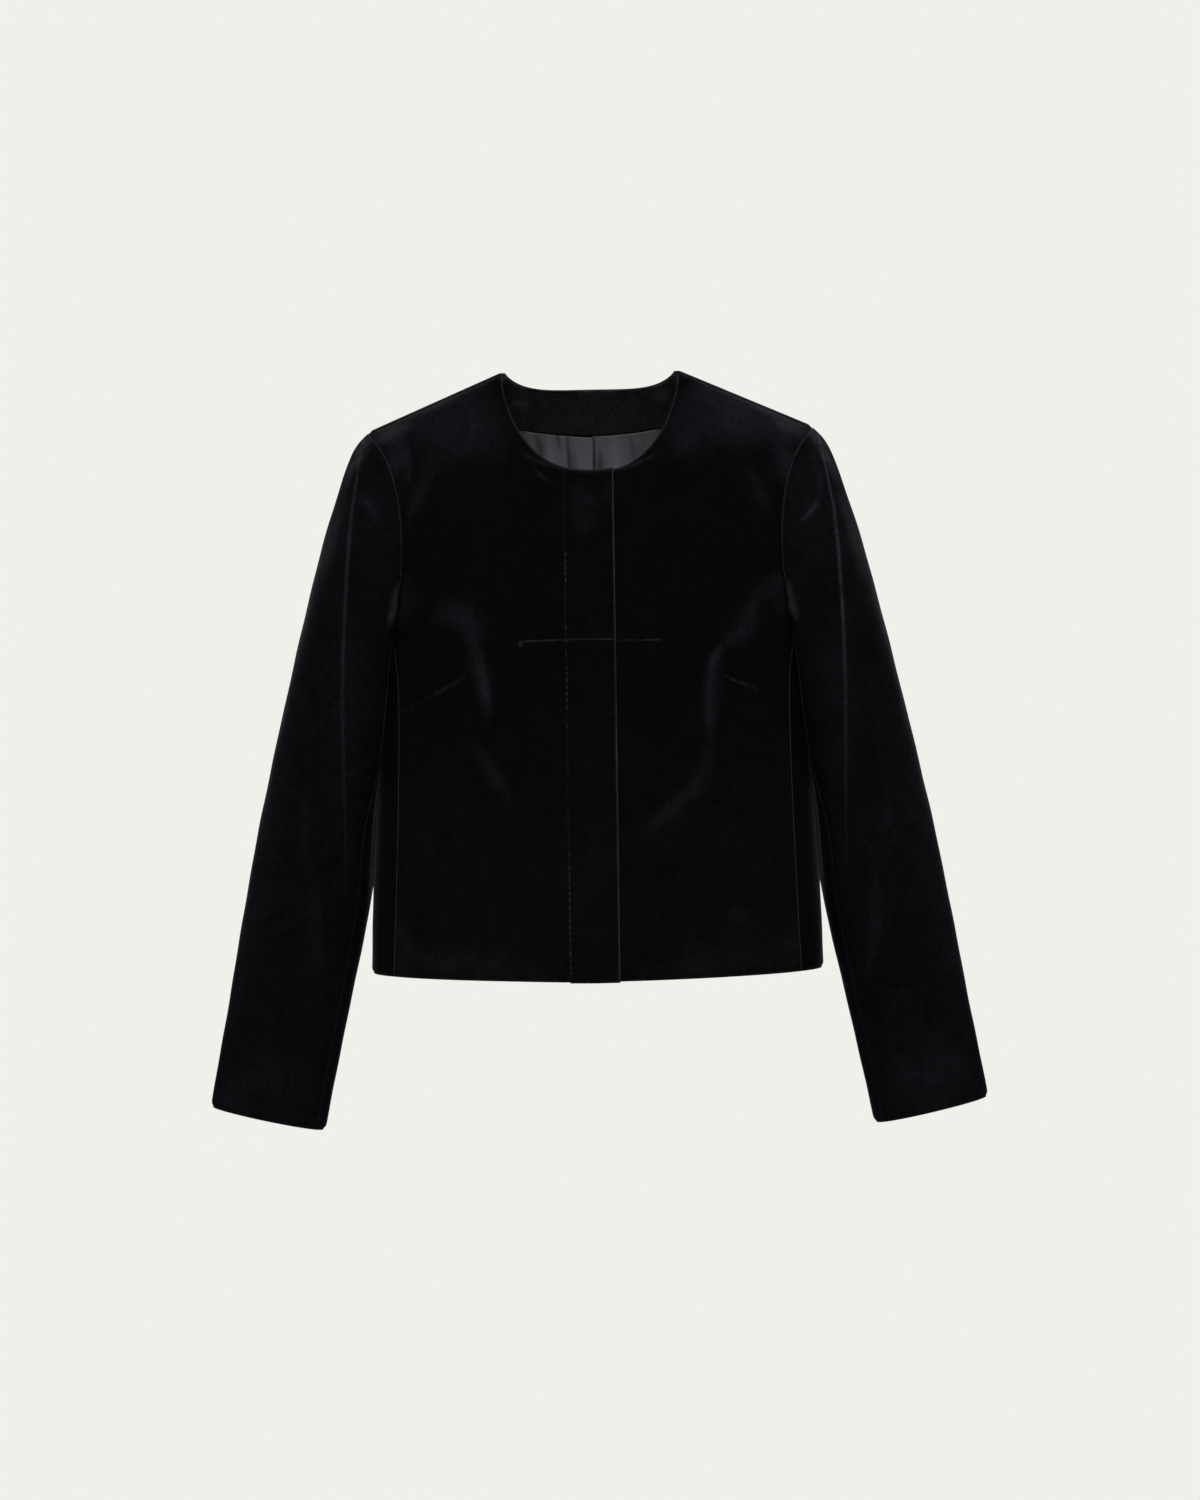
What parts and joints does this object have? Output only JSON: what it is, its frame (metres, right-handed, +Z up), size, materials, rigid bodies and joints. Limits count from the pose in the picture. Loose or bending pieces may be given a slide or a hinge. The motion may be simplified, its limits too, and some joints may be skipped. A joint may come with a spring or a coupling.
{
  "type": "collarless cropped jacket",
  "caption": "Cropped black velvet jacket with a round collarless neck, a hidden fly front, long set-in sleeves and a satin back lining, hollow and filled out as if worn.",
  "frame": {"origin": "midway between the shoulders, on the plane of the shoulder ridge, where the wearer's shoulders carry the jacket", "axes": "+Z up towards the neck, the front faces -Y, +X towards the wearer's left sleeve"},
  "size_m": [0.672, 0.2163, 0.6517],
  "materials": {
    "velvet": "black pile velvet with a cool sheen",
    "lining": "charcoal satin"
  },
  "bodies": {
    "root": {"front_right": "velvet", "front_left": "velvet", "placket": "velvet", "side_right": "velvet", "side_left": "velvet", "back": "velvet", "back_neck_facing": "velvet", "lining_back": "lining", "sleeve_top_right": "velvet", "sleeve_under_right": "velvet", "sleeve_top_left": "velvet", "sleeve_under_left": "velvet"}
  },
  "joints": []
}
